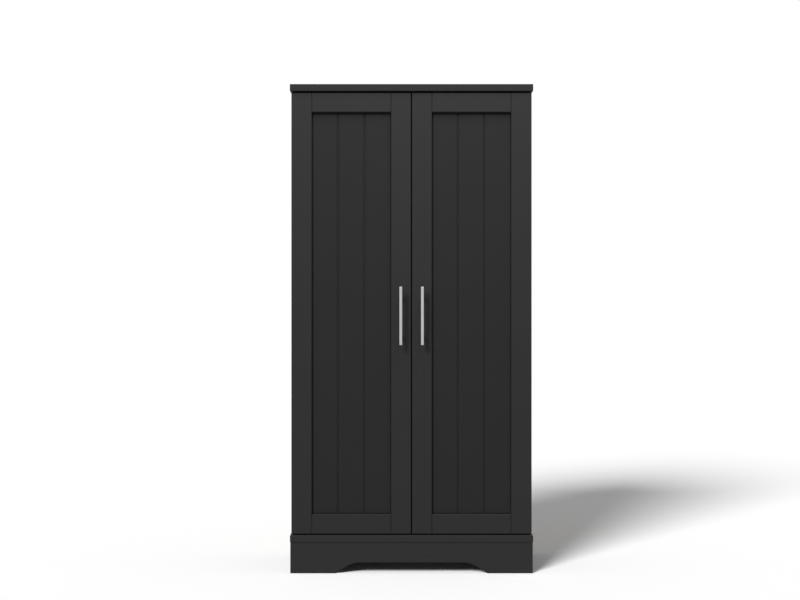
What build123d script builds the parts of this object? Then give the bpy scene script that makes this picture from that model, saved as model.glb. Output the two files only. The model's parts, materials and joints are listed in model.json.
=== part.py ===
"""Pantry cabinet: a flat-pack carcass on an arched base, with two framed doors and four storage levels."""
import os
from math import radians, tan

from build123d import *

os.makedirs("parts", exist_ok=True)

# Driving dimensions, in millimetres and degrees

# Boards of the carcass
HEIGHT = 1198.0
TOP_WIDTH = 596.0
TOP_DEPTH = 320.0
TOP_THICKNESS = 17.0
TOP_SIDE_LIP = 4.0
TOP_FRONT_LIP = 5.0
TOP_EDGE_RADIUS = 1.0
BOTTOM_THICKNESS = 18.0
BEAD_CORNER_RADIUS = 4.0
BEAD_TOP_RADIUS = 2.0
BEAD_UNDER_RADIUS = 2.5
SIDE_THICKNESS = 15.0
SHELF_THICKNESS = 15.0
SHELF_EDGE_RADIUS = 0.8

# Back panels in grooves, joined behind the fixed shelf
BACK_THICKNESS = 3.0
BACK_INSET = 10.0
BACK_GROOVE_DEPTH = 6.0
BACK_END_GAP = 0.5
BACK_SLIP = 0.2
STRIP_FLANGE = 1.0
STRIP_WEB = 1.2
STRIP_HEIGHT = 24.0

# Base frame
BASE_HEIGHT = 75.0
BASE_THICKNESS = 15.0
BASE_SETBACK = 1.1
BASE_EDGE_RADIUS = 1.0
ARCH_WIDTH = 370.0
ARCH_HEIGHT = 26.5
ARCH_LIP = 5.0
ARCH_LIP_RADIUS = 1.5
ARCH_TOE = 7.0
ARCH_TOE_RADIUS = 15.0
ARCH_RAMP_ANGLE = 34.0
ARCH_RADIUS = 69.0
REAR_RAIL_INSET = 20.0
BLOCK_THICKNESS = 30.0
BLOCK_LENGTH = 60.0
BLOCK_SCREW_BITE = 10.0
BLOCK_SCREW_RADIUS = 2.0

# Adjustable shelves and their pins
SHELF_END_GAP = 1.5
SHELF_BACK_GAP = 3.0
SHELF_FRONT_SETBACK = 20.0
PIN_RADIUS = 2.5
PIN_PEG_LENGTH = 9.0
PIN_COLLAR_RADIUS = 4.0
PIN_COLLAR_THICKNESS = 1.2
PIN_TAB_LENGTH = 9.0
PIN_TAB_WIDTH = 12.0
PIN_TAB_THICKNESS = 2.5
PIN_HOLE_EXTRA = 1.0
PIN_FRONT_INSET = 80.0
PIN_REAR_INSET = 45.0
PIN_PITCH = 32.0
PIN_ROWS = 5

# Cam fittings and dowels
CAM_RADIUS = 7.5
CAM_HEIGHT = 12.2
CAM_DISTANCE = 24.0
CAM_INSET = 60.0
CAM_CHAMBER_RADIUS = 4.2
CAM_CHAMBER_REACH = 3.2
CAM_SLOT = 1.2
CAM_SLOT_DEPTH = 2.5
BOLT_THREAD_RADIUS = 3.0
BOLT_THREAD_LENGTH = 10.0
BOLT_SHANK_RADIUS = 2.8
BOLT_NECK_RADIUS = 1.9
BOLT_HEAD_RADIUS = 3.4
BOLT_HEAD_LENGTH = 4.0
BOLT_BORE_CLEARANCE = 0.6
DOWEL_RADIUS = 4.0
DOWEL_LENGTH = 30.0
DOWEL_SEAT = 10.0
DOWEL_INSET = 105.0
DOWEL_END_GAP = 0.5
FIT_CLEARANCE = 0.05

# Doors
DOOR_THICKNESS = 18.0
DOOR_TOP_GAP = 4.0
DOOR_BOTTOM_GAP = 3.0
DOOR_MIDDLE_GAP = 2.5
DOOR_SIDE_LIP = 0.5
DOOR_CARCASS_GAP = 3.0
DOOR_EDGE_RADIUS = 1.5
OUTER_STILE_WIDTH = 50.0
INNER_STILE_WIDTH = 49.0
TOP_RAIL_WIDTH = 47.5
BOTTOM_RAIL_WIDTH = 48.0
JOINT_CHAMFER = 1.6
PANEL_THICKNESS = 6.0
PANEL_RECESS = 9.5
PANEL_SEAT = 8.0
PANEL_END_GAP = 1.0
PANEL_SLIP = 0.15
LINE_COUNT = 2
LINE_WIDTH = 8.0
LINE_DEPTH = 2.5
LINE_ROOT_RADIUS = 1.0
SHADOW_LINE_WIDTH = 1.6
SHADOW_LINE_DEPTH = 2.5

# Handles
HANDLE_DROP = 6.0
HANDLE_INSET = 25.0
BAR_LENGTH = 142.0
BAR_WIDTH = 7.0
BAR_EDGE_RADIUS = 0.9
POST_SPACING = 96.0
POST_RADIUS = 3.5
POST_LENGTH = 27.0
HANDLE_SCREW_RADIUS = 2.0
HANDLE_SCREW_BITE = 8.0

# Concealed hinges
HINGE_END_INSET = 110.0
HINGE_SHELF_RISE = 70.0
CUP_RADIUS = 17.5
CUP_EDGE = 3.0
CUP_DEPTH = 13.0
CUP_WALL = 1.0
CUP_BORE_CLEARANCE = 0.1
CUP_FLANGE = 1.2
CUP_EAR_WIDTH = 14.0
CUP_SCREW_SPACING = 45.0
CUP_SCREW_OFFSET = 9.5
CUP_SCREW_RADIUS = 1.75
CUP_SCREW_LENGTH = 11.0
PIVOT_EDGE = 8.0
PIVOT_DEPTH = 9.0
PIVOT_RADIUS = 1.25
PIVOT_RUNNING_CLEARANCE = 0.05
PIVOT_LUG_WIDTH = 5.4
PIVOT_LUG_THICKNESS = 2.8
PIVOT_LUG_GAP = 0.4
PIVOT_LUG_HEIGHT = 6.6
EYE_RADIUS = 2.5
ARM_THICKNESS = 2.0
ARM_NOSE_WIDTH = 10.0
ARM_WIDTH = 15.0
ARM_STANDOFF = 8.0
ARM_BEND_RADIUS = 3.0
ARM_CHANNEL_START = 9.0
ARM_LENGTH = 61.0
ARM_FLANGE_THICKNESS = 1.8
ARM_FLANGE_GAP = 0.4
ARM_SCREW_INSET = 8.0
ARM_SCREW_RADIUS = 2.0
PLATE_SETBACK = 37.0
PLATE_LENGTH = 46.0
PLATE_WING_LENGTH = 18.0
PLATE_WING_SPAN = 50.0
PLATE_WING_THICKNESS = 2.2
PLATE_SIDE_GAP = 0.3
PLATE_SCREW_SPACING = 32.0
PLATE_SCREW_RADIUS = 2.5
PLATE_SCREW_LENGTH = 12.0

# Screw heads
HEAD_RATIO = 1.8
HEAD_HEIGHT = 1.6
HEAD_SLOT = 0.9
HEAD_SLOT_DEPTH = 0.9

# Bumpers and wall brackets
BUMPER_RADIUS = 5.0
BUMPER_THICKNESS = 2.4
BUMPER_OFFSET = 24.0
BRACKET_SPACING = 400.0
BRACKET_WIDTH = 20.0
BRACKET_LEG = 36.0
BRACKET_DROP = 40.0
BRACKET_THICKNESS = 2.0
BRACKET_SCREW_RADIUS = 2.0
BRACKET_SCREW_LENGTH = 12.0
WALL_HOLE_RADIUS = 3.0
WALL_HOLE_DROP = 24.0

# Places worked out from the driving dimensions: +X right, +Y back, +Z up, origin at the middle of the floor
handle_reach = POST_LENGTH + BAR_WIDTH
back_y = (TOP_DEPTH - TOP_FRONT_LIP + handle_reach) / 2
top_front = back_y - TOP_DEPTH
door_front = top_front + TOP_FRONT_LIP
door_back = door_front + DOOR_THICKNESS
side_front = door_back + DOOR_CARCASS_GAP
panel_back_y = back_y - BACK_INSET
panel_front_y = panel_back_y - BACK_THICKNESS
strip_front = panel_front_y - BACK_SLIP - STRIP_FLANGE
strip_back = panel_back_y + BACK_SLIP + STRIP_FLANGE

top_half = TOP_WIDTH / 2
outer_half = top_half - TOP_SIDE_LIP
inner_half = outer_half - SIDE_THICKNESS
side_middle = outer_half - SIDE_THICKNESS / 2
base_half = top_half - BASE_SETBACK
base_inner = base_half - BASE_THICKNESS
base_front = top_front + BASE_SETBACK
base_front_back = base_front + BASE_THICKNESS
rail_back = back_y - REAR_RAIL_INSET
rail_front = rail_back - BASE_THICKNESS

bottom_top = BASE_HEIGHT + BOTTOM_THICKNESS
top_under = HEIGHT - TOP_THICKNESS
shelf_middle = (bottom_top + top_under) / 2
shelf_under = shelf_middle - SHELF_THICKNESS / 2
shelf_top = shelf_middle + SHELF_THICKNESS / 2
upper_shelf_z = (shelf_top + top_under - SHELF_THICKNESS) / 2
lower_shelf_z = (bottom_top + shelf_under - SHELF_THICKNESS) / 2

door_bottom = bottom_top + DOOR_BOTTOM_GAP
door_top = top_under - DOOR_TOP_GAP
door_outer = outer_half + DOOR_SIDE_LIP
door_inner = DOOR_MIDDLE_GAP / 2
frame_outer = door_outer - OUTER_STILE_WIDTH
frame_inner = door_inner + INNER_STILE_WIDTH
frame_bottom = door_bottom + BOTTOM_RAIL_WIDTH
frame_top = door_top - TOP_RAIL_WIDTH
panel_y = door_front + PANEL_RECESS
groove_y = (panel_y - PANEL_SLIP, panel_y + PANEL_THICKNESS + PANEL_SLIP)
groove_depth = PANEL_SEAT + PANEL_END_GAP
handle_x = door_inner + HANDLE_INSET
handle_z = (door_bottom + door_top) / 2 - HANDLE_DROP

hinge_heights = [door_bottom + HINGE_END_INSET, shelf_middle + HINGE_SHELF_RISE, door_top - HINGE_END_INSET]
pivot_x = door_outer - PIVOT_EDGE
pivot_y = door_back - PIVOT_DEPTH
cup_x = door_outer - CUP_EDGE - CUP_RADIUS
arm_x = inner_half - ARM_STANDOFF
arm_foot_x = arm_x + ARM_THICKNESS / 2
arm_face_x = arm_x - ARM_THICKNESS / 2
arm_end_y = side_front + ARM_LENGTH
plate_y = side_front + PLATE_SETBACK
plate_half = PLATE_LENGTH / 2
channel_half = ARM_WIDTH / 2 - ARM_FLANGE_THICKNESS
lug_start = ARM_NOSE_WIDTH / 2 + PIVOT_LUG_GAP
lug_end = lug_start + PIVOT_LUG_THICKNESS

SIDES = [("left", -1), ("right", 1)]
SHELVES = [("upper", upper_shelf_z), ("lower", lower_shelf_z)]
NEAR = 0.01
BEYOND = 1.0


def save(piece, name):
    """Label a finished piece and write it."""
    piece.part.label = name
    export_step(piece.part, "parts/" + name + ".step")


def block(x_span, y_span, z_span, mode=Mode.ADD):
    """Add or cut a box between three pairs of coordinates, each in either order."""
    spans = (x_span, y_span, z_span)
    with Locations(tuple((low + high) / 2 for low, high in spans)):
        Box(*(abs(high - low) for low, high in spans), mode=mode)


def near(edges, axis, *values):
    """Keep the edges whose middle lies at one of the given coordinates."""
    kept = ShapeList()
    for value in values:
        kept += edges.filter_by_position(axis, value - NEAR, value + NEAR)
    return kept


def rods(seats, radius, length, start=0.0, mode=Mode.ADD):
    """Add or cut a round bar at each seat plane, along its normal."""
    with Locations(*(seat.offset(start) for seat in seats)):
        Cylinder(radius, length, align=(Align.CENTER, Align.CENTER, Align.MIN), mode=mode)


def pan_screws(seats, radius, length):
    """Add a cross-slotted screw at each seat plane: the head stands on it, the shank follows its normal."""
    head_radius = radius * HEAD_RATIO
    rods(seats, radius - FIT_CLEARANCE, length)
    rods(seats, head_radius, HEAD_HEIGHT, start=-HEAD_HEIGHT)
    for turn in (0, 90):
        with Locations(*(seat.offset(-HEAD_HEIGHT).rotated((0, 0, turn)) for seat in seats)):
            Box(2 * radius, HEAD_SLOT, 2 * HEAD_SLOT_DEPTH, mode=Mode.SUBTRACT)


def across(side, height, y, x):
    """Seat plane that points to the left or to the right, with its place counted on that side."""
    return Plane(origin=(side * x, y, height), x_dir=(0, 1, 0), z_dir=(side, 0, 0))


def upright(x, y, z, direction):
    """Seat plane that points up or down."""
    return Plane(origin=(x, y, z), x_dir=(1, 0, 0), z_dir=(0, 0, direction))


def lengthwise(x, y, z, direction):
    """Seat plane that points to the back or to the front."""
    return Plane(origin=(x, y, z), x_dir=(1, 0, 0), z_dir=(0, direction, 0))


# Seats of the fittings, shared by the holes and the pieces that go into them
cam_rows = [side_front + CAM_INSET, panel_front_y - CAM_INSET]
dowel_rows = [side_front + DOWEL_INSET, panel_front_y - DOWEL_INSET]


def end_seats(side, rows):
    """Seats in the top and bottom boards above and below one side panel, pointing into the side panel."""
    top_seats = [upright(side * side_middle, y, top_under, -1) for y in rows]
    bottom_seats = [upright(side * side_middle, y, bottom_top, 1) for y in rows]
    return top_seats + bottom_seats


def shelf_seats(side, rows):
    """Seats on one side panel's inner face, pointing into the fixed shelf."""
    return [across(-side, shelf_middle, y, -inner_half) for y in rows]


def cam_seats(side):
    """Faces of the cam locks on one side, each pointing into its board, and the way to its bolt."""
    seats = []
    for y in cam_rows:
        seats.append((across(side, top_under - CAM_DISTANCE, y, inner_half), Vector(0, 0, 1)))
        seats.append((across(side, bottom_top + CAM_DISTANCE, y, inner_half), Vector(0, 0, -1)))
        seats.append((upright(side * (inner_half - CAM_DISTANCE), y, shelf_under, 1), Vector(side, 0, 0)))
    return seats


def base_dowel_seats():
    """Dowel seats at the base corners: front board to side boards, and side boards to rear rail."""
    seats = []
    for side in (-1, 1):
        for height in (BASE_HEIGHT / 3, 2 * BASE_HEIGHT / 3):
            seats.append(lengthwise(side * (base_half - BASE_THICKNESS / 2), base_front_back, height, 1))
            seats.append(across(-side, height, (rail_front + rail_back) / 2, -base_inner))
    return seats


def block_places():
    """Inner corner of each base corner block, with the ways that its sides run."""
    return [(side, way, base_front_back if way > 0 else rail_front) for side in (-1, 1) for way in (1, -1)]


def block_screw_seats():
    """Seats on the corner blocks: one screw up into the bottom panel, one out into the side board."""
    seats = []
    for side, way, corner_y in block_places():
        x = base_inner - BLOCK_THICKNESS
        middle_x = side * (base_inner - BLOCK_THICKNESS / 2)
        seats.append(upright(middle_x, corner_y + way * BLOCK_LENGTH / 3, BASE_HEIGHT - BLOCK_THICKNESS, 1))
        middle_z = BASE_HEIGHT - BLOCK_THICKNESS / 2
        seats.append(across(side, middle_z, corner_y + way * 2 * BLOCK_LENGTH / 3, x))
    return seats


def pin_seats(side, shelf_z, rows):
    """Shelf pin holes of one side around one shelf, in a front and a rear column."""
    columns = [side_front + PIN_FRONT_INSET, panel_front_y - PIN_REAR_INSET]
    heights = [shelf_z + (row - (rows - 1) / 2) * PIN_PITCH for row in range(rows)]
    return [across(side, height, y, inner_half) for y in columns for height in heights]


def plate_screw_seats(side):
    """Hinge plate screws of one side, on the plate's wings."""
    seat_x = inner_half - PLATE_WING_THICKNESS
    rises = (-PLATE_SCREW_SPACING / 2, PLATE_SCREW_SPACING / 2)
    return [across(side, z + rise, plate_y, seat_x) for z in hinge_heights for rise in rises]


def arm_screw_seats(side):
    """Screws that hold one side's hinge arms on their plates."""
    places = (plate_y - plate_half + ARM_SCREW_INSET, plate_y + plate_half - ARM_SCREW_INSET)
    return [across(side, z, y, arm_face_x) for z in hinge_heights for y in places]


def cup_screw_seats(side):
    """Hinge cup screws of one door, on the cup flanges."""
    x = side * (cup_x - CUP_SCREW_OFFSET)
    rises = (-CUP_SCREW_SPACING / 2, CUP_SCREW_SPACING / 2)
    return [lengthwise(x, door_back + CUP_FLANGE, z + rise, -1) for z in hinge_heights for rise in rises]


def handle_screw_seats(side):
    """Handle screws of one door, on the back of the inner stile."""
    heights = (handle_z - POST_SPACING / 2, handle_z + POST_SPACING / 2)
    return [lengthwise(side * handle_x, door_back, z, -1) for z in heights]


bracket_places = [-BRACKET_SPACING / 2, BRACKET_SPACING / 2]
bracket_screw_y = panel_front_y - BRACKET_LEG * 2 / 3
bracket_screw_seats = [upright(x, bracket_screw_y, top_under - BRACKET_THICKNESS, 1) for x in bracket_places]
wall_hole_seats = [lengthwise(x, panel_front_y - BRACKET_THICKNESS, top_under - WALL_HOLE_DROP, 1)
                   for x in bracket_places]
both_ends = [seat for _, side in SIDES for seat in end_seats(side, cam_rows)]
both_dowels = [seat for _, side in SIDES for seat in end_seats(side, dowel_rows)]
both_shelf_bolts = [seat for _, side in SIDES for seat in shelf_seats(side, cam_rows)]
both_shelf_dowels = [seat for _, side in SIDES for seat in shelf_seats(side, dowel_rows)]
bolt_seats = both_ends + both_shelf_bolts
dowel_seats = both_dowels + both_shelf_dowels + base_dowel_seats()
bolt_bore = BOLT_SHANK_RADIUS + BOLT_BORE_CLEARANCE
dowel_hole = DOWEL_RADIUS + FIT_CLEARANCE


def cut_dowel_holes(seats):
    """Cut dowel holes both ways from the seats; only what meets the board is cut."""
    rods(seats, dowel_hole, DOWEL_LENGTH + 2 * DOWEL_END_GAP, start=-DOWEL_SEAT - DOWEL_END_GAP,
         mode=Mode.SUBTRACT)


def cut_back_groove(x_span, z_span):
    """Cut the groove that a back panel's edge slides into."""
    block(x_span, (panel_front_y - BACK_SLIP, panel_back_y + BACK_SLIP), z_span, mode=Mode.SUBTRACT)


# Top panel, with eased front and side edges
with BuildPart() as top_panel:
    block((-top_half, top_half), (top_front, back_y), (top_under, HEIGHT))
    rims = top_panel.edges().filter_by(Axis.Y)
    rims += near(top_panel.edges().filter_by(Axis.X), Axis.Y, top_front)
    rims += near(top_panel.edges().filter_by(Axis.Z), Axis.Y, top_front)
    fillet(rims, TOP_EDGE_RADIUS)
    cut_back_groove((-inner_half - BACK_GROOVE_DEPTH, inner_half + BACK_GROOVE_DEPTH),
                    (top_under - BEYOND, top_under + BACK_GROOVE_DEPTH))
    rods(both_ends, BOLT_THREAD_RADIUS, BOLT_THREAD_LENGTH, start=-BOLT_THREAD_LENGTH, mode=Mode.SUBTRACT)
    cut_dowel_holes(both_dowels)
    rods(bracket_screw_seats, BRACKET_SCREW_RADIUS, BRACKET_SCREW_LENGTH, mode=Mode.SUBTRACT)
save(top_panel, "top_panel")

# Bottom panel, whose rounded front and side edges make the bead below the doors
with BuildPart() as bottom_panel:
    block((-top_half, top_half), (top_front, back_y), (BASE_HEIGHT, bottom_top))
    fillet(near(bottom_panel.edges().filter_by(Axis.Z), Axis.Y, top_front), BEAD_CORNER_RADIUS)
    rear_edges = near(bottom_panel.edges(), Axis.Y, back_y)
    fillet(near(bottom_panel.edges(), Axis.Z, bottom_top) - rear_edges, BEAD_TOP_RADIUS)
    rear_edges = near(bottom_panel.edges(), Axis.Y, back_y)
    fillet(near(bottom_panel.edges(), Axis.Z, BASE_HEIGHT) - rear_edges, BEAD_UNDER_RADIUS)
    cut_back_groove((-inner_half - BACK_GROOVE_DEPTH, inner_half + BACK_GROOVE_DEPTH),
                    (bottom_top - BACK_GROOVE_DEPTH, bottom_top + BEYOND))
    rods(both_ends, BOLT_THREAD_RADIUS, BOLT_THREAD_LENGTH, start=-BOLT_THREAD_LENGTH, mode=Mode.SUBTRACT)
    cut_dowel_holes(both_dowels)
    rods(block_screw_seats(), BLOCK_SCREW_RADIUS, BLOCK_THICKNESS + BLOCK_SCREW_BITE, mode=Mode.SUBTRACT)
save(bottom_panel, "bottom_panel")

# Side panels, drilled for pins, hinge plates, cams, bolts and dowels
for side_name, side in SIDES:
    with BuildPart() as side_panel:
        block((side * inner_half, side * outer_half), (side_front, back_y), (bottom_top, top_under))
        front_edges = near(side_panel.edges().filter_by(Axis.Z), Axis.Y, side_front)
        fillet(front_edges, SHELF_EDGE_RADIUS)
        cut_back_groove((side * (inner_half - BEYOND), side * (inner_half + BACK_GROOVE_DEPTH)),
                        (bottom_top - BEYOND, top_under + BEYOND))
        for shelf_name, shelf_z in SHELVES:
            rods(pin_seats(side, shelf_z, PIN_ROWS), PIN_RADIUS, PIN_PEG_LENGTH + PIN_HOLE_EXTRA,
                 mode=Mode.SUBTRACT)
        rods(plate_screw_seats(side), PLATE_SCREW_RADIUS, PLATE_SCREW_LENGTH, mode=Mode.SUBTRACT)
        rods([seat for seat, way in cam_seats(side) if abs(way.Z) > 0], CAM_RADIUS + FIT_CLEARANCE,
             CAM_HEIGHT + FIT_CLEARANCE, mode=Mode.SUBTRACT)
        rods(end_seats(side, cam_rows), bolt_bore, CAM_DISTANCE, mode=Mode.SUBTRACT)
        rods(shelf_seats(side, cam_rows), BOLT_THREAD_RADIUS, BOLT_THREAD_LENGTH,
             start=-BOLT_THREAD_LENGTH, mode=Mode.SUBTRACT)
        cut_dowel_holes(end_seats(side, dowel_rows) + shelf_seats(side, dowel_rows))
    save(side_panel, side_name + "_side_panel")

# Fixed shelf at half height, flush with the front of the sides
with BuildPart() as fixed_shelf:
    block((-inner_half, inner_half), (side_front, strip_front), (shelf_under, shelf_top))
    fillet(near(fixed_shelf.edges().filter_by(Axis.X), Axis.Y, side_front), SHELF_EDGE_RADIUS)
    for side in (-1, 1):
        rods([seat for seat, way in cam_seats(side) if abs(way.X) > 0], CAM_RADIUS + FIT_CLEARANCE,
             CAM_HEIGHT + FIT_CLEARANCE, mode=Mode.SUBTRACT)
    rods(both_shelf_bolts, bolt_bore, CAM_DISTANCE, mode=Mode.SUBTRACT)
    cut_dowel_holes(both_shelf_dowels)
save(fixed_shelf, "fixed_shelf")

# Back panels, in the grooves of the boards around them and in the joint strip between them
back_half = inner_half + BACK_GROOVE_DEPTH - BACK_END_GAP
back_ends = BACK_GROOVE_DEPTH - BACK_END_GAP
strip_seat = STRIP_WEB / 2 + BACK_SLIP
with BuildPart() as upper_back_panel:
    block((-back_half, back_half), (panel_front_y, panel_back_y),
          (shelf_middle + strip_seat, top_under + back_ends))
    rods(wall_hole_seats, WALL_HOLE_RADIUS, BRACKET_THICKNESS + 2 * BACK_THICKNESS, mode=Mode.SUBTRACT)
save(upper_back_panel, "upper_back_panel")

with BuildPart() as lower_back_panel:
    block((-back_half, back_half), (panel_front_y, panel_back_y),
          (bottom_top - back_ends, shelf_middle - strip_seat))
save(lower_back_panel, "lower_back_panel")

with BuildPart() as back_joint_strip:
    strip_half = inner_half - BACK_END_GAP
    strip_z = (shelf_middle - STRIP_HEIGHT / 2, shelf_middle + STRIP_HEIGHT / 2)
    block((-strip_half, strip_half), (strip_front, strip_front + STRIP_FLANGE), strip_z)
    block((-strip_half, strip_half), (strip_back - STRIP_FLANGE, strip_back), strip_z)
    block((-strip_half, strip_half), (strip_front, strip_back),
          (shelf_middle - STRIP_WEB / 2, shelf_middle + STRIP_WEB / 2))
save(back_joint_strip, "back_joint_strip")

# Adjustable shelves and the pins that they rest on
for shelf_name, shelf_z in SHELVES:
    with BuildPart() as shelf:
        shelf_half = inner_half - SHELF_END_GAP
        block((-shelf_half, shelf_half), (side_front + SHELF_FRONT_SETBACK, panel_front_y - SHELF_BACK_GAP),
              (shelf_z, shelf_z + SHELF_THICKNESS))
        fillet(near(shelf.edges().filter_by(Axis.X), Axis.Y, side_front + SHELF_FRONT_SETBACK),
               SHELF_EDGE_RADIUS)
    save(shelf, shelf_name + "_shelf")

    with BuildPart() as shelf_pins:
        for _, side in SIDES:
            seats = pin_seats(side, shelf_z, 1)
            rods(seats, PIN_RADIUS - FIT_CLEARANCE, PIN_PEG_LENGTH)
            rods(seats, PIN_COLLAR_RADIUS, PIN_COLLAR_THICKNESS, start=-PIN_COLLAR_THICKNESS)
            for seat in seats:
                block((seat.origin.X, seat.origin.X - side * PIN_TAB_LENGTH),
                      (seat.origin.Y - PIN_TAB_WIDTH / 2, seat.origin.Y + PIN_TAB_WIDTH / 2),
                      (shelf_z - PIN_TAB_THICKNESS, shelf_z))
    save(shelf_pins, shelf_name + "_shelf_pins")

# Base front board with its arch: a short lip at each foot, then a curved ramp up to a flat top
with BuildPart() as base_front_board:
    foot = ARCH_WIDTH / 2
    shoulder = foot - ARCH_TOE
    crown = shoulder - (ARCH_HEIGHT - ARCH_LIP) / tan(radians(ARCH_RAMP_ANGLE))
    right_corners = [(crown, ARCH_HEIGHT), (shoulder, ARCH_LIP), (foot, ARCH_LIP), (foot, 0)]
    left_corners = [(-x, z) for x, z in reversed(right_corners)]
    right_bends = [ARCH_RADIUS, ARCH_TOE_RADIUS, ARCH_LIP_RADIUS]
    with BuildSketch(Plane(origin=(0, base_front, 0), x_dir=(1, 0, 0), z_dir=(0, -1, 0))):
        Rectangle(2 * base_half, BASE_HEIGHT, align=(Align.CENTER, Align.MIN))
        with BuildLine():
            arch = FilletPolyline(*left_corners, *right_corners, radius=right_bends[::-1] + right_bends)
            Line(arch @ 1, arch @ 0)
        make_face(mode=Mode.SUBTRACT)
    extrude(amount=-BASE_THICKNESS)
    board_front = base_front_board.faces().sort_by(Axis.Y)[0]
    fillet(board_front.edges().filter_by(lambda edge: edge.center().Z > NEAR), BASE_EDGE_RADIUS)
    cut_dowel_holes(base_dowel_seats())
save(base_front_board, "base_front_board")

# Base side boards and rear rail
for side_name, side in SIDES:
    with BuildPart() as base_board:
        block((side * base_inner, side * base_half), (base_front_back, back_y), (0, BASE_HEIGHT))
        cut_dowel_holes(base_dowel_seats())
        rods(block_screw_seats(), BLOCK_SCREW_RADIUS, BLOCK_THICKNESS + BLOCK_SCREW_BITE, mode=Mode.SUBTRACT)
    save(base_board, side_name + "_base_board")

with BuildPart() as rear_base_rail:
    block((-base_inner, base_inner), (rail_front, rail_back), (0, BASE_HEIGHT))
    cut_dowel_holes(base_dowel_seats())
save(rear_base_rail, "rear_base_rail")

with BuildPart() as base_corner_blocks:
    for side, way, corner_y in block_places():
        block((side * base_inner, side * (base_inner - BLOCK_THICKNESS)),
              (corner_y, corner_y + way * BLOCK_LENGTH), (BASE_HEIGHT - BLOCK_THICKNESS, BASE_HEIGHT))
    rods(block_screw_seats(), BLOCK_SCREW_RADIUS, BLOCK_THICKNESS, mode=Mode.SUBTRACT)
save(base_corner_blocks, "base_corner_blocks")

with BuildPart() as base_block_screws:
    pan_screws(block_screw_seats(), BLOCK_SCREW_RADIUS, BLOCK_THICKNESS + BLOCK_SCREW_BITE)
save(base_block_screws, "base_block_screws")

# Cam bolts: threaded into one board, their heads inside the cam locks of the other
with BuildPart() as cam_bolts:
    head_start = CAM_DISTANCE - BOLT_HEAD_LENGTH / 2
    rods(bolt_seats, BOLT_THREAD_RADIUS - FIT_CLEARANCE, BOLT_THREAD_LENGTH, start=-BOLT_THREAD_LENGTH)
    rods(bolt_seats, BOLT_SHANK_RADIUS, CAM_DISTANCE - CAM_RADIUS)
    rods(bolt_seats, BOLT_NECK_RADIUS, CAM_RADIUS, start=CAM_DISTANCE - CAM_RADIUS)
    rods(bolt_seats, BOLT_HEAD_RADIUS, BOLT_HEAD_LENGTH, start=head_start)
save(cam_bolts, "cam_bolts")

# Cam locks: discs with a chamber for the bolt head and a cross slot on the face
with BuildPart() as cam_locks:
    for _, side in SIDES:
        for seat, way in cam_seats(side):
            rods([seat], CAM_RADIUS, CAM_HEIGHT)
            board = SIDE_THICKNESS if way.Z else SHELF_THICKNESS
            centre = seat.offset(board / 2).origin
            towards_bolt = Plane(origin=centre, z_dir=way)
            rods([towards_bolt], CAM_CHAMBER_RADIUS, 2 * CAM_CHAMBER_REACH, start=-CAM_CHAMBER_REACH,
                 mode=Mode.SUBTRACT)
            rods([towards_bolt], BOLT_NECK_RADIUS + BOLT_BORE_CLEARANCE, CAM_RADIUS + BEYOND,
                 mode=Mode.SUBTRACT)
            for turn in (0, 90):
                with Locations(seat.rotated((0, 0, turn))):
                    Box(CAM_RADIUS, CAM_SLOT, 2 * CAM_SLOT_DEPTH, mode=Mode.SUBTRACT)
save(cam_locks, "cam_locks")

with BuildPart() as dowels:
    rods(dowel_seats, DOWEL_RADIUS, DOWEL_LENGTH, start=-DOWEL_SEAT)
save(dowels, "dowels")

# Bumpers that the closed doors meet, on the fixed shelf's front edge
with BuildPart() as door_bumpers:
    bumper_seats = [lengthwise(side * BUMPER_OFFSET, side_front, shelf_middle, -1) for _, side in SIDES]
    rods(bumper_seats, BUMPER_RADIUS, BUMPER_THICKNESS)
    outer_faces = door_bumpers.faces().group_by(Axis.Y)[0]
    fillet(outer_faces.edges(), BUMPER_THICKNESS / 3)
save(door_bumpers, "door_bumpers")

# Wall brackets under the top panel, with a hole for a wall screw through the back panel
with BuildPart() as wall_brackets:
    for x in bracket_places:
        x_span = (x - BRACKET_WIDTH / 2, x + BRACKET_WIDTH / 2)
        block(x_span, (panel_front_y - BRACKET_LEG, panel_front_y),
              (top_under - BRACKET_THICKNESS, top_under))
        block(x_span, (panel_front_y - BRACKET_THICKNESS, panel_front_y),
              (top_under - BRACKET_DROP, top_under))
    rods(wall_hole_seats, WALL_HOLE_RADIUS, BRACKET_THICKNESS, mode=Mode.SUBTRACT)
    rods(bracket_screw_seats, BRACKET_SCREW_RADIUS, BRACKET_THICKNESS, mode=Mode.SUBTRACT)
    inner_bends = near(wall_brackets.edges().filter_by(Axis.X), Axis.Y, panel_front_y - BRACKET_THICKNESS)
    fillet(near(inner_bends, Axis.Z, top_under - BRACKET_THICKNESS), BRACKET_THICKNESS)
save(wall_brackets, "wall_brackets")

with BuildPart() as wall_bracket_screws:
    pan_screws(bracket_screw_seats, BRACKET_SCREW_RADIUS, BRACKET_SCREW_LENGTH)
save(wall_bracket_screws, "wall_bracket_screws")

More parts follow.
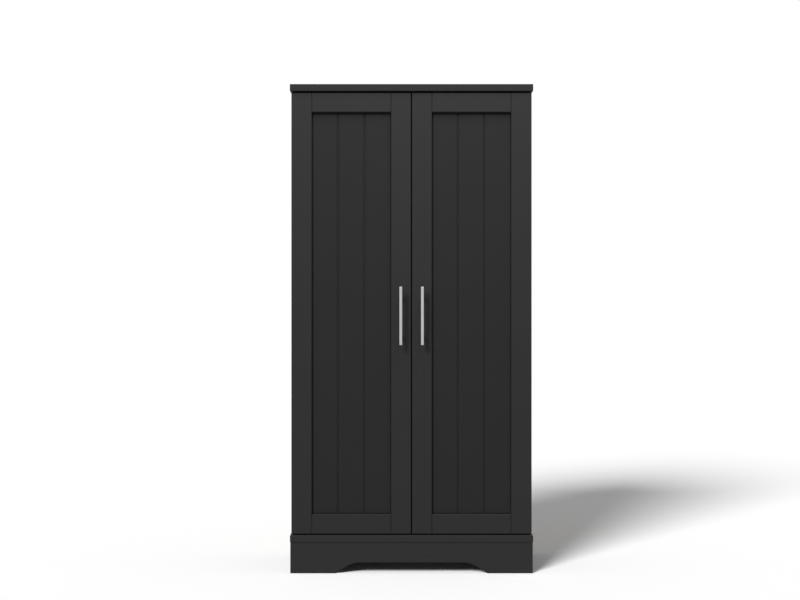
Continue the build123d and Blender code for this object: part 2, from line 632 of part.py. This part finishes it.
# Hinge plates: a raised body between two screwed wings
with BuildPart() as hinge_plates:
    for _, side in SIDES:
        for z in hinge_heights:
            block((side * inner_half, side * arm_foot_x), (plate_y - plate_half, plate_y + plate_half),
                  (z - channel_half + PLATE_SIDE_GAP, z + channel_half - PLATE_SIDE_GAP))
            block((side * inner_half, side * (inner_half - PLATE_WING_THICKNESS)),
                  (plate_y - PLATE_WING_LENGTH / 2, plate_y + PLATE_WING_LENGTH / 2),
                  (z - PLATE_WING_SPAN / 2, z + PLATE_WING_SPAN / 2))
        rods(plate_screw_seats(side), PLATE_SCREW_RADIUS, PLATE_WING_THICKNESS, mode=Mode.SUBTRACT)
        rods(arm_screw_seats(side), ARM_SCREW_RADIUS, ARM_STANDOFF, mode=Mode.SUBTRACT)
    wing_ends = hinge_plates.edges().filter_by(Axis.X)
    wing_levels = [z + end * PLATE_WING_SPAN / 2 for z in hinge_heights for end in (-1, 1)]
    fillet(near(wing_ends, Axis.Z, *wing_levels), PLATE_WING_LENGTH / 3)
save(hinge_plates, "hinge_plates")

with BuildPart() as hinge_plate_screws:
    for _, side in SIDES:
        pan_screws(plate_screw_seats(side), PLATE_SCREW_RADIUS, PLATE_SCREW_LENGTH)
save(hinge_plate_screws, "hinge_plate_screws")

# Hinge arms: an eye on the pivot pin, a neck that curves out of the cup, and a channel over the plate
with BuildPart() as hinge_arms:
    for _, side in SIDES:
        for z in hinge_heights:
            with BuildSketch(Plane.XY.offset(z)):
                with BuildLine():
                    FilletPolyline((side * pivot_x, pivot_y), (side * arm_x, pivot_y),
                                   (side * arm_x, arm_end_y), radius=ARM_BEND_RADIUS)
                trace(line_width=ARM_THICKNESS)
                with Locations((side * pivot_x, pivot_y)):
                    Circle(EYE_RADIUS)
            extrude(amount=ARM_NOSE_WIDTH / 2, both=True)
            channel_y = (side_front + ARM_CHANNEL_START, arm_end_y)
            block((side * arm_foot_x, side * arm_face_x), channel_y, (z - ARM_WIDTH / 2, z + ARM_WIDTH / 2))
            flange_x = inner_half - PLATE_WING_THICKNESS - ARM_FLANGE_GAP
            for edge in (-1, 1):
                block((side * flange_x, side * arm_face_x), channel_y,
                      (z + edge * channel_half, z + edge * ARM_WIDTH / 2))
            rods([upright(side * pivot_x, pivot_y, z - ARM_NOSE_WIDTH / 2, 1)],
                 PIVOT_RADIUS + PIVOT_RUNNING_CLEARANCE, ARM_NOSE_WIDTH, mode=Mode.SUBTRACT)
        rods(arm_screw_seats(side), ARM_SCREW_RADIUS, ARM_THICKNESS, mode=Mode.SUBTRACT)
save(hinge_arms, "hinge_arms")

with BuildPart() as hinge_arm_screws:
    for _, side in SIDES:
        pan_screws(arm_screw_seats(side), ARM_SCREW_RADIUS, ARM_STANDOFF - ARM_THICKNESS)
save(hinge_arm_screws, "hinge_arm_screws")

# Doors, with their handles and the hinge parts that swing with them
for side_name, side in SIDES:
    frame_y = (door_front, door_back)
    door_z = (door_bottom, door_top)
    cup_seats = [lengthwise(side * cup_x, door_back, z, -1) for z in hinge_heights]
    pin_ends = [upright(side * pivot_x, pivot_y, z - lug_end, 1) for z in hinge_heights]
    door_edges = {"outer": door_outer, "inner": door_inner}
    joint_edges = {"outer": frame_outer, "inner": frame_inner}

    for stile_name in ("outer", "inner"):
        with BuildPart() as stile:
            edge_x = side * door_edges[stile_name]
            joint_x = side * joint_edges[stile_name]
            into = side if stile_name == "outer" else -side
            block((edge_x, joint_x), frame_y, door_z)
            joint_edge = near(near(stile.edges().filter_by(Axis.Z), Axis.X, joint_x), Axis.Y, door_front)
            chamfer(joint_edge, JOINT_CHAMFER)
            ends = near(stile.edges().filter_by(Axis.X), Axis.Y, door_front)
            rims = near(stile.edges().filter_by(Axis.Z), Axis.X, edge_x) + ends
            fillet(rims, DOOR_EDGE_RADIUS)
            block((joint_x - into * BEYOND, joint_x + into * groove_depth), groove_y,
                  (door_bottom - BEYOND, door_top + BEYOND), mode=Mode.SUBTRACT)
            if stile_name == "outer":
                rods(cup_seats, CUP_RADIUS + CUP_BORE_CLEARANCE, CUP_DEPTH, mode=Mode.SUBTRACT)
                rods(cup_screw_seats(side), CUP_SCREW_RADIUS, CUP_SCREW_LENGTH, mode=Mode.SUBTRACT)
            else:
                rods(handle_screw_seats(side), HANDLE_SCREW_RADIUS, DOOR_THICKNESS, mode=Mode.SUBTRACT)
        save(stile, side_name + "_door_" + stile_name + "_stile")

    for rail_name, rail_edge, joint_z, way in (("top", door_top, frame_top, -1),
                                               ("bottom", door_bottom, frame_bottom, 1)):
        with BuildPart() as rail:
            block((side * frame_inner, side * frame_outer), frame_y, (rail_edge, joint_z))
            front_edges = near(rail.edges(), Axis.Y, door_front)
            joints = near(front_edges, Axis.Z, joint_z) + front_edges.filter_by(Axis.Z)
            chamfer(joints, JOINT_CHAMFER)
            fillet(near(rail.edges().filter_by(Axis.X), Axis.Z, rail_edge), DOOR_EDGE_RADIUS)
            tongue_y = (panel_y, panel_y + PANEL_THICKNESS)
            block((side * (frame_inner - PANEL_SEAT), side * (frame_outer + PANEL_SEAT)), tongue_y,
                  (rail_edge + way * DOOR_EDGE_RADIUS, joint_z))
            groove_ends = PANEL_SEAT + BEYOND
            block((side * (frame_inner - groove_ends), side * (frame_outer + groove_ends)), groove_y,
                  (joint_z + way * BEYOND, joint_z - way * groove_depth), mode=Mode.SUBTRACT)
        save(rail, side_name + "_door_" + rail_name + "_rail")

    with BuildPart() as door_panel:
        panel_width = frame_outer - frame_inner
        panel_z = (frame_bottom - PANEL_SEAT, frame_top + PANEL_SEAT)
        block((side * (frame_inner - PANEL_SEAT), side * (frame_outer + PANEL_SEAT)),
              (panel_y, panel_y + PANEL_THICKNESS), panel_z)
        line_spots = [frame_inner + panel_width * (line + 1) / (LINE_COUNT + 1) for line in range(LINE_COUNT)]
        with BuildSketch(Plane.XY.offset(panel_z[0])):
            for spot in line_spots:
                with BuildLine(Plane.XY.offset(panel_z[0])):
                    left_end = (side * spot - LINE_WIDTH / 2, panel_y)
                    right_end = (side * spot + LINE_WIDTH / 2, panel_y)
                    FilletPolyline(left_end, (side * spot, panel_y + LINE_DEPTH), right_end,
                                   radius=LINE_ROOT_RADIUS)
                    Line(right_end, left_end)
                make_face()
        extrude(amount=panel_z[1] - panel_z[0], mode=Mode.SUBTRACT)
        shadow_y = (panel_y - BEYOND, panel_y + SHADOW_LINE_DEPTH)
        for x, inward in ((frame_inner, 1), (frame_outer, -1)):
            block((side * x, side * (x + inward * SHADOW_LINE_WIDTH)), shadow_y, (frame_bottom, frame_top),
                  mode=Mode.SUBTRACT)
        for z, inward in ((frame_bottom, 1), (frame_top, -1)):
            block((side * frame_inner, side * frame_outer), shadow_y, (z, z + inward * SHADOW_LINE_WIDTH),
                  mode=Mode.SUBTRACT)
    save(door_panel, side_name + "_door_panel")

    # Handle: a square bar on two round posts, screwed through the stile
    with BuildPart() as handle_bar:
        bar_y = door_front - handle_reach
        block((side * handle_x - BAR_WIDTH / 2, side * handle_x + BAR_WIDTH / 2), (bar_y, bar_y + BAR_WIDTH),
              (handle_z - BAR_LENGTH / 2, handle_z + BAR_LENGTH / 2))
        fillet(handle_bar.edges(), BAR_EDGE_RADIUS)
    save(handle_bar, side_name + "_handle_bar")

    with BuildPart() as handle_posts:
        rods(handle_screw_seats(side), POST_RADIUS, POST_LENGTH, start=DOOR_THICKNESS)
        rods(handle_screw_seats(side), HANDLE_SCREW_RADIUS, HANDLE_SCREW_BITE, start=DOOR_THICKNESS,
             mode=Mode.SUBTRACT)
    save(handle_posts, side_name + "_handle_posts")

    with BuildPart() as handle_screws:
        pan_screws(handle_screw_seats(side), HANDLE_SCREW_RADIUS, DOOR_THICKNESS + HANDLE_SCREW_BITE)
    save(handle_screws, side_name + "_handle_screws")

    # Hinge cups: a flanged cup with two lugs that hold the pivot pin
    with BuildPart() as hinge_cups:
        flange_seat = door_back + CUP_FLANGE
        for z in hinge_heights:
            with BuildSketch(Plane(origin=(side * cup_x, flange_seat, z), x_dir=(1, 0, 0), z_dir=(0, -1, 0))):
                Circle(CUP_RADIUS)
                with Locations((-side * CUP_SCREW_OFFSET, 0)):
                    SlotCenterToCenter(CUP_SCREW_SPACING, CUP_EAR_WIDTH, rotation=90)
            extrude(amount=CUP_FLANGE)
        rods(cup_seats, CUP_RADIUS, CUP_DEPTH)
        rods(cup_seats, CUP_RADIUS - CUP_WALL, CUP_FLANGE + CUP_DEPTH - CUP_WALL, start=-CUP_FLANGE,
             mode=Mode.SUBTRACT)
        cup_floor = door_back - CUP_DEPTH + CUP_WALL / 2
        for z in hinge_heights:
            for edge in (-1, 1):
                block((side * (pivot_x - PIVOT_LUG_WIDTH / 2), side * (pivot_x + PIVOT_LUG_WIDTH / 2)),
                      (cup_floor, cup_floor + PIVOT_LUG_HEIGHT), (z + edge * lug_start, z + edge * lug_end))
        rods(pin_ends, PIVOT_RADIUS + FIT_CLEARANCE, 2 * lug_end, mode=Mode.SUBTRACT)
        rods(cup_screw_seats(side), CUP_SCREW_RADIUS, CUP_FLANGE, mode=Mode.SUBTRACT)
    save(hinge_cups, side_name + "_hinge_cups")

    with BuildPart() as hinge_pins:
        rods(pin_ends, PIVOT_RADIUS, 2 * lug_end)
    save(hinge_pins, side_name + "_hinge_pins")

    with BuildPart() as cup_screws:
        pan_screws(cup_screw_seats(side), CUP_SCREW_RADIUS, CUP_SCREW_LENGTH)
    save(cup_screws, side_name + "_cup_screws")
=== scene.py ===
"""Studio scene of the pantry cabinet: a finish for every piece, pale floor, soft light and the camera."""
import json
from functools import cache
from math import cos, radians, sin

import bpy
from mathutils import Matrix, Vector


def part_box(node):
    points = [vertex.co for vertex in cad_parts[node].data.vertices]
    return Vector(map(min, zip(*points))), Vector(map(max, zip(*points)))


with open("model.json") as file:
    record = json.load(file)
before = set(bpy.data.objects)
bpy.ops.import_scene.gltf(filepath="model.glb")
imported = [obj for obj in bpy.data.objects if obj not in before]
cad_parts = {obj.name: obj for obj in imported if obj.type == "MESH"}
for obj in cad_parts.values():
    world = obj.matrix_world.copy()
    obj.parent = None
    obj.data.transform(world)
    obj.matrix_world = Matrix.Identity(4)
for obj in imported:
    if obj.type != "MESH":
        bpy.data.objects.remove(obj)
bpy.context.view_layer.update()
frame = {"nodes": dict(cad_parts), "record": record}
scene = bpy.context.scene
scene.view_settings.view_transform = "Standard"

# Places, in metres, in the part's own frame
FRONT_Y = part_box("left_door_outer_stile")[0].y
MIDDLE = Vector((0.0, 0.0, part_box("top_panel")[1].z / 2))

# Axes, by number
ALONG_X, ALONG_Y, ALONG_Z = range(3)

# Camera, level and square to the front: place in metres, sensor and lens in millimetres
CAMERA_X = -0.0282
CAMERA_HEIGHT = 0.6693
CAMERA_DISTANCE = 3.991
SENSOR_WIDTH = 36.0
LENS = 73.28

# Light: angles in degrees, distances and sizes in metres, power in watts
KEY_SIDE_ANGLE = 25.0
KEY_RISE_ANGLE = 29.0
KEY_DISTANCE = 5.0
KEY_SPREAD = 19.0
KEY_STRENGTH = 2.22
TOP_SIDE_ANGLE = -10.0
TOP_RISE_ANGLE = 64.0
TOP_DISTANCE = 1.9
TOP_SIZE = 1.0
TOP_POWER = 26.0
WORLD_LEVEL = 0.155

# Floor: size and fading distances in metres, brightness as seen, light given back, share of white
FLOOR_SIZE = 40.0
FLOOR_SEEN = 2.04
FLOOR_BOUNCE = 0.75
FLOOR_GLOW = 0.006
FLOOR_CLEAR_START = 2.2
FLOOR_CLEAR_END = 6.0

# Paint and laminate: grey levels and gloss. The panels' paint is darker than the frame's as painted shade for
# their recess, and the top and base boards are darker and lighter copies of the laminate, as painted shade
# and painted light
FRAME_LEVEL = 0.026
# Panel grey: the frame's paint darkened, as painted shade for the recess the panels sit in
PANEL_LEVEL_WITH_PAINTED_SHADE = 0.0198
BOARD_LEVEL = 0.026
PAINT_GLOSS = 0.06
HARDBOARD_GLOSS = 0.35
PLAIN_SHADE = ("black_board", BOARD_LEVEL)
# The top board is a darker copy of the laminate, as painted shade; the base boards are a lighter copy, as
# painted light
TOP_PAINTED_SHADE = ("top_board", 0.0228)
BASE_PAINTED_LIGHT = ("base_board", 0.028)
PAINTED_LIGHT_SHADES = {
    "top_panel": TOP_PAINTED_SHADE,
    "bottom_panel": BASE_PAINTED_LIGHT,
    "base_front_board": BASE_PAINTED_LIGHT,
    "left_base_board": BASE_PAINTED_LIGHT,
    "right_base_board": BASE_PAINTED_LIGHT,
    "rear_base_rail": BASE_PAINTED_LIGHT,
}

# Colours of raw hardboard, metal, wood, plastic and rubber, and of the surroundings
FIBRE_DARK = (0.135, 0.075, 0.036)
FIBRE_MIDDLE = (0.235, 0.145, 0.078)
FIBRE_LIGHT = (0.33, 0.22, 0.125)
SATIN_NICKEL = (0.395, 0.395, 0.393)
HINGE_NICKEL = (0.66, 0.65, 0.63)
ZINC_PLATE = (0.60, 0.60, 0.59)
CAST_ZINC = (0.42, 0.42, 0.43)
BEECH_DARK = (0.42, 0.27, 0.15)
BEECH_LIGHT = (0.60, 0.43, 0.27)
PINE_DARK = (0.45, 0.28, 0.13)
PINE_LIGHT = (0.66, 0.49, 0.29)
STRIP_BLACK = (0.020, 0.020, 0.020)
RUBBER_GREY = (0.34, 0.34, 0.33)
WHITE = (1.0, 1.0, 1.0)

# Values between which most of a cloudy texture lies
CLOUDS_LOW = 0.3
CLOUDS_HIGH = 0.7


def new_material(name):
    """A node material, its node tree and its surface shader."""
    made = bpy.data.materials.new(name)
    made.use_nodes = True
    return made, made.node_tree, made.node_tree.nodes["Principled BSDF"]


def node(tree, kind, **settings):
    """A node of one kind, with its own settings."""
    made = tree.nodes.new("ShaderNode" + kind)
    for name, value in settings.items():
        setattr(made, name, value)
    return made


def place(tree, stretch=(1.0, 1.0, 1.0)):
    """The surface point in the piece's own metres, scaled along its axes."""
    coordinates = node(tree, "TexCoord")
    mapping = node(tree, "Mapping")
    mapping.inputs["Scale"].default_value = stretch
    tree.links.new(coordinates.outputs["Object"], mapping.inputs["Vector"])
    return mapping.outputs["Vector"]


def place_along(tree, axis, share):
    """The surface point for a texture drawn out along one axis; a smaller share makes longer streaks."""
    stretch = [1.0, 1.0, 1.0]
    stretch[axis] = share
    return place(tree, stretch)


def noise(tree, point, scale, detail=3.0, roughness=0.55, distortion=0.0):
    """Cloudy values around a half; scale is in cells per metre."""
    made = node(tree, "TexNoise")
    made.inputs["Scale"].default_value = scale
    made.inputs["Detail"].default_value = detail
    made.inputs["Roughness"].default_value = roughness
    made.inputs["Distortion"].default_value = distortion
    tree.links.new(point, made.inputs["Vector"])
    return made.outputs["Fac"]


def spread(tree, value, low, high, start=CLOUDS_LOW, end=CLOUDS_HIGH):
    """A value between two levels, moved by a texture that runs from start to end."""
    made = node(tree, "MapRange")
    for name, number in (("From Min", start), ("From Max", end), ("To Min", low), ("To Max", high)):
        made.inputs[name].default_value = number
    tree.links.new(value, made.inputs["Value"])
    return made.outputs["Result"]


def tint(tree, value, *stops):
    """A colour from a texture value; each stop is (position, (r, g, b))."""
    made = node(tree, "ValToRGB")
    elements = made.color_ramp.elements
    while len(elements) < len(stops):
        elements.new(0.5)
    for element, (position, colour) in zip(elements, stops):
        element.position = position
        element.color = (*colour, 1.0)
    tree.links.new(value, made.inputs["Fac"])
    return made.outputs["Color"]


def vary(tree, value, colour, dark, light, start=CLOUDS_LOW, end=CLOUDS_HIGH):
    """One colour that a texture moves from a dark to a light share of itself."""
    darker = tuple(level * dark for level in colour)
    lighter = tuple(level * light for level in colour)
    return tint(tree, value, (start, darker), (end, lighter))


def blend(tree, factor, first, second):
    """Two colours mixed by a texture value."""
    made = node(tree, "Mix", data_type="RGBA")
    tree.links.new(factor, made.inputs["Factor"])
    tree.links.new(first, made.inputs["A"])
    tree.links.new(second, made.inputs["B"])
    return made.outputs["Result"]


def add_bump(tree, shader, height, depth, strength):
    """Small relief of a given depth in metres, on top of any that the shader already has."""
    made = node(tree, "Bump")
    made.inputs["Strength"].default_value = strength
    made.inputs["Distance"].default_value = depth
    tree.links.new(height, made.inputs["Height"])
    if shader.inputs["Normal"].is_linked:
        tree.links.new(shader.inputs["Normal"].links[0].from_socket, made.inputs["Normal"])
    tree.links.new(made.outputs["Normal"], shader.inputs["Normal"])


def grey(level):
    """A neutral colour of one level."""
    return (level, level, level)


def door_paint(name, level):
    """Satin black paint on fibreboard: faint cloudiness, fine orange peel, uneven gloss."""
    made, tree, shader = new_material(name)
    point = place(tree)
    clouds = noise(tree, point, scale=7.0, detail=4.0)
    patches = noise(tree, point, scale=45.0)
    peel = noise(tree, point, scale=620.0, detail=2.0)
    waves = noise(tree, point, scale=60.0, detail=2.0)
    colour = vary(tree, clouds, grey(level), dark=0.97, light=1.03)
    tree.links.new(colour, shader.inputs["Base Color"])
    tree.links.new(spread(tree, patches, low=0.54, high=0.60), shader.inputs["Roughness"])
    shader.inputs["Specular IOR Level"].default_value = PAINT_GLOSS
    add_bump(tree, shader, peel, depth=0.00004, strength=0.35)
    add_bump(tree, shader, waves, depth=0.0001, strength=0.12)
    return made


@cache
def black_board(shade, level, axis):
    """Black laminate with faint grain and pores along one axis; boards that are alike share it."""
    made, tree, shader = new_material(shade + "_" + "xyz"[axis])
    along = place_along(tree, axis, share=0.05)
    grain = noise(tree, along, scale=700.0, detail=4.0, distortion=0.3)
    patches = noise(tree, along, scale=120.0)
    pores = spread(tree, grain, low=0.0, high=1.0, start=0.35, end=0.5)
    colour = vary(tree, grain, grey(level), dark=0.9, light=1.1, start=0.32, end=0.68)
    tree.links.new(colour, shader.inputs["Base Color"])
    tree.links.new(spread(tree, patches, low=0.52, high=0.60), shader.inputs["Roughness"])
    shader.inputs["Specular IOR Level"].default_value = PAINT_GLOSS
    add_bump(tree, shader, pores, depth=0.00005, strength=0.25)
    return made


def hardboard(name):
    """Back panel: black laminate on the face towards the doors, raw brown hardboard elsewhere."""
    made, tree, shader = new_material(name)
    fibres = noise(tree, place_along(tree, ALONG_Z, share=0.35), scale=420.0, detail=5.0, roughness=0.7,
                   distortion=0.6)
    clouds = noise(tree, place(tree), scale=8.0)
    raw = tint(tree, fibres, (0.25, FIBRE_DARK), (0.5, FIBRE_MIDDLE), (0.75, FIBRE_LIGHT))
    face = vary(tree, clouds, grey(BOARD_LEVEL), dark=0.9, light=1.1)
    normal = node(tree, "SeparateXYZ")
    tree.links.new(node(tree, "TexCoord").outputs["Normal"], normal.inputs["Vector"])
    bare = spread(tree, normal.outputs["Y"], low=0.0, high=1.0, start=-0.6, end=-0.4)
    tree.links.new(blend(tree, bare, face, raw), shader.inputs["Base Color"])
    tree.links.new(spread(tree, bare, low=0.5, high=0.78, start=0.0, end=1.0), shader.inputs["Roughness"])
    shader.inputs["Specular IOR Level"].default_value = HARDBOARD_GLOSS
    add_bump(tree, shader, fibres, depth=0.00012, strength=0.3)
    return made


def brushed_metal(name, colour, rough, axis, streaks):
    """Plated metal with fine brush lines along one axis and slightly uneven gloss."""
    made, tree, shader = new_material(name)
    lines = noise(tree, place_along(tree, axis, share=0.02), scale=streaks)
    tree.links.new(vary(tree, lines, colour, dark=0.93, light=1.06), shader.inputs["Base Color"])
    tree.links.new(spread(tree, lines, low=rough - 0.05, high=rough + 0.06), shader.inputs["Roughness"])
    shader.inputs["Metallic"].default_value = 1.0
    add_bump(tree, shader, lines, depth=0.00002, strength=0.25)
    return made


def plated_steel(name, colour, rough):
    """Barrel-plated small fittings: soft mottling and dull patches."""
    made, tree, shader = new_material(name)
    point = place(tree)
    mottling = noise(tree, point, scale=240.0, detail=4.0)
    patches = noise(tree, point, scale=600.0)
    pits = noise(tree, point, scale=1500.0, detail=2.0)
    shaded = vary(tree, mottling, colour, dark=0.86, light=1.08, start=0.32, end=0.68)
    tree.links.new(shaded, shader.inputs["Base Color"])
    tree.links.new(spread(tree, patches, low=rough - 0.06, high=rough + 0.08), shader.inputs["Roughness"])
    shader.inputs["Metallic"].default_value = 1.0
    add_bump(tree, shader, pits, depth=0.00002, strength=0.3)
    return made


def bare_wood(name, dark, light, axis):
    """Unfinished wood: growth lines and fine fibres that run along one axis."""
    made, tree, shader = new_material(name)
    along = place_along(tree, axis, share=0.08)
    rings = noise(tree, along, scale=90.0, detail=2.0, distortion=1.2)
    fibres = noise(tree, along, scale=1400.0, detail=4.0)
    growth = tint(tree, rings, (0.35, light), (0.5, dark), (0.6, light))
    fine = tint(tree, fibres, (CLOUDS_LOW, dark), (CLOUDS_HIGH, light))
    share_of_fine = spread(tree, fibres, low=0.25, high=0.6)
    tree.links.new(blend(tree, share_of_fine, growth, fine), shader.inputs["Base Color"])
    tree.links.new(spread(tree, fibres, low=0.62, high=0.78), shader.inputs["Roughness"])
    add_bump(tree, shader, fibres, depth=0.00008, strength=0.4)
    return made


def soft_plastic(name, colour, rough, grain):
    """Moulded or extruded plastic and rubber with a fine matt texture."""
    made, tree, shader = new_material(name)
    texture = noise(tree, place(tree), scale=grain)
    tree.links.new(vary(tree, texture, colour, dark=0.88, light=1.15), shader.inputs["Base Color"])
    tree.links.new(spread(tree, texture, low=rough - 0.06, high=rough + 0.06), shader.inputs["Roughness"])
    add_bump(tree, shader, texture, depth=0.00005, strength=0.3)
    return made


def longest_axis(name):
    """The axis that a piece is longest along."""
    low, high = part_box(name)
    return max((ALONG_X, ALONG_Y, ALONG_Z), key=lambda axis: high[axis] - low[axis])


def dress_pieces():
    """Give every piece the finish of its slot in the record, and every board grain along its length."""
    finishes = {
        "door_paint": door_paint("door_paint", FRAME_LEVEL),
        # Panel paint: the door paint at a lower grey, painted shade for the recess
        "panel_paint": door_paint("panel_paint", PANEL_LEVEL_WITH_PAINTED_SHADE),
        "hardboard": hardboard("hardboard"),
        "satin_nickel": brushed_metal("satin_nickel", SATIN_NICKEL, rough=0.36, axis=ALONG_Z, streaks=2600.0),
        "hinge_steel": brushed_metal("hinge_steel", HINGE_NICKEL, rough=0.26, axis=ALONG_Y, streaks=1800.0),
        "zinc_steel": plated_steel("zinc_steel", ZINC_PLATE, rough=0.34),
        "cast_zinc": plated_steel("cast_zinc", CAST_ZINC, rough=0.48),
        "beech": bare_wood("beech", BEECH_DARK, BEECH_LIGHT, axis=ALONG_Z),
        "pine": bare_wood("pine", PINE_DARK, PINE_LIGHT, axis=ALONG_Y),
        "strip_plastic": soft_plastic("strip_plastic", STRIP_BLACK, rough=0.55, grain=900.0),
        "bumper_rubber": soft_plastic("bumper_rubber", RUBBER_GREY, rough=0.5, grain=1200.0),
    }
    for entry in frame["record"]["subparts"]:
        name, slot = entry["node"], entry["material_slot"]
        if slot == "black_board":
            # Top and base boards get darker and lighter copies of the laminate: painted shade and painted
            # light
            shade, level = PAINTED_LIGHT_SHADES.get(name, PLAIN_SHADE)
            finish = black_board(shade, level, longest_axis(name))
        else:
            finish = finishes[slot]
        mesh = frame["nodes"][name].data
        mesh.materials.clear()
        mesh.materials.append(finish)


def seen_ray(tree):
    """One for rays from the camera, mirrors and glass; nought for the rays that carry light."""
    path = node(tree, "LightPath")
    seen = path.outputs["Is Camera Ray"]
    for name in ("Is Glossy Ray", "Is Transmission Ray"):
        either = node(tree, "Math", operation="MAXIMUM")
        tree.links.new(seen, either.inputs[0])
        tree.links.new(path.outputs[name], either.inputs[1])
        seen = either.outputs["Value"]
    return seen


def mix_shaders(tree, factor, first, second):
    """Two shaders mixed by a value."""
    made = node(tree, "MixShader")
    tree.links.new(factor, made.inputs["Fac"])
    tree.links.new(first, made.inputs[1])
    tree.links.new(second, made.inputs[2])
    return made.outputs["Shader"]


def make_world():
    """Surroundings that look white and light the object softly from all sides."""
    world = bpy.data.worlds.new("studio")
    scene.world = world
    world.use_nodes = True
    tree = world.node_tree
    ambient = tree.nodes["Background"]
    ambient.inputs["Color"].default_value = (*WHITE, 1.0)
    ambient.inputs["Strength"].default_value = WORLD_LEVEL
    white = node(tree, "Background")
    white.inputs["Color"].default_value = (*WHITE, 1.0)
    shown = mix_shaders(tree, seen_ray(tree), ambient.outputs["Background"], white.outputs["Background"])
    tree.links.new(shown, tree.nodes["World Output"].inputs["Surface"])


def make_floor():
    """Pale floor that keeps the shadow near the object and fades into the white surroundings."""
    bpy.ops.mesh.primitive_plane_add(size=FLOOR_SIZE, location=(0.0, 0.0, 0.0))
    floor = bpy.context.object
    floor.name = "studio_floor"
    made, tree, shader = new_material("studio_floor")
    tree.nodes.remove(shader)
    point = place(tree)
    paper = noise(tree, point, scale=30.0, detail=2.0)
    bounce = vary(tree, paper, grey(FLOOR_BOUNCE), dark=0.99, light=1.0)
    seen = vary(tree, paper, grey(FLOOR_SEEN), dark=0.995, light=1.0)
    looked_at = seen_ray(tree)
    matt = node(tree, "BsdfDiffuse")
    tree.links.new(blend(tree, looked_at, bounce, seen), matt.inputs["Color"])
    distance = node(tree, "VectorMath", operation="LENGTH")
    tree.links.new(point, distance.inputs[0])
    clear = node(tree, "MapRange", interpolation_type="SMOOTHSTEP")
    clear.inputs["From Min"].default_value = FLOOR_CLEAR_START
    clear.inputs["From Max"].default_value = FLOOR_CLEAR_END
    clear.inputs["To Min"].default_value = FLOOR_GLOW
    tree.links.new(distance.outputs["Value"], clear.inputs["Value"])
    whiteness = node(tree, "Math", operation="MULTIPLY")
    tree.links.new(clear.outputs["Result"], whiteness.inputs[0])
    tree.links.new(looked_at, whiteness.inputs[1])
    white = node(tree, "Emission")
    shown = mix_shaders(tree, whiteness.outputs["Value"], matt.outputs["BSDF"], white.outputs["Emission"])
    tree.links.new(shown, tree.nodes["Material Output"].inputs["Surface"])
    floor.data.materials.append(made)
    return floor


def make_lamp(name, kind, side_angle, rise_angle, distance):
    """A lamp that faces the middle of the object; a positive side angle is to the left."""
    holder = bpy.data.objects.new(name, bpy.data.lights.new(name, kind))
    scene.collection.objects.link(holder)
    side, rise = radians(side_angle), radians(rise_angle)
    away = Vector((-sin(side) * cos(rise), -cos(side) * cos(rise), sin(rise)))
    holder.location = MIDDLE + away * distance
    holder.rotation_euler = away.to_track_quat("Z", "Y").to_euler()
    return holder


def make_key_light():
    """A large, far light from the upper left that throws the soft shadow."""
    holder = make_lamp("key_light", "SUN", KEY_SIDE_ANGLE, KEY_RISE_ANGLE, KEY_DISTANCE)
    holder.data.angle = radians(KEY_SPREAD)
    holder.data.energy = KEY_STRENGTH


def keep_light_off(lamp, thing):
    """Leave one thing out of what a lamp lights."""
    group = bpy.data.collections.new(lamp.name + "_left_out")
    group.objects.link(thing)
    lamp.light_linking.receiver_collection = group
    group.collection_objects[0].light_linking.link_state = "EXCLUDE"


def make_top_light(floor):
    """A near, soft light above the front that fades towards the base and leaves the floor alone."""
    holder = make_lamp("top_light", "AREA", TOP_SIDE_ANGLE, TOP_RISE_ANGLE, TOP_DISTANCE)
    holder.data.size = TOP_SIZE
    holder.data.energy = TOP_POWER
    keep_light_off(holder, floor)


def make_camera():
    """A level camera at the photograph's place."""
    data = bpy.data.cameras.new("camera")
    data.sensor_width = SENSOR_WIDTH
    data.lens = LENS
    holder = bpy.data.objects.new("camera", data)
    scene.collection.objects.link(holder)
    holder.location = (CAMERA_X, FRONT_Y - CAMERA_DISTANCE, CAMERA_HEIGHT)
    holder.rotation_euler = (radians(90.0), 0.0, 0.0)
    scene.camera = holder


dress_pieces()
make_world()
floor = make_floor()
make_key_light()
make_top_light(floor)
make_camera()
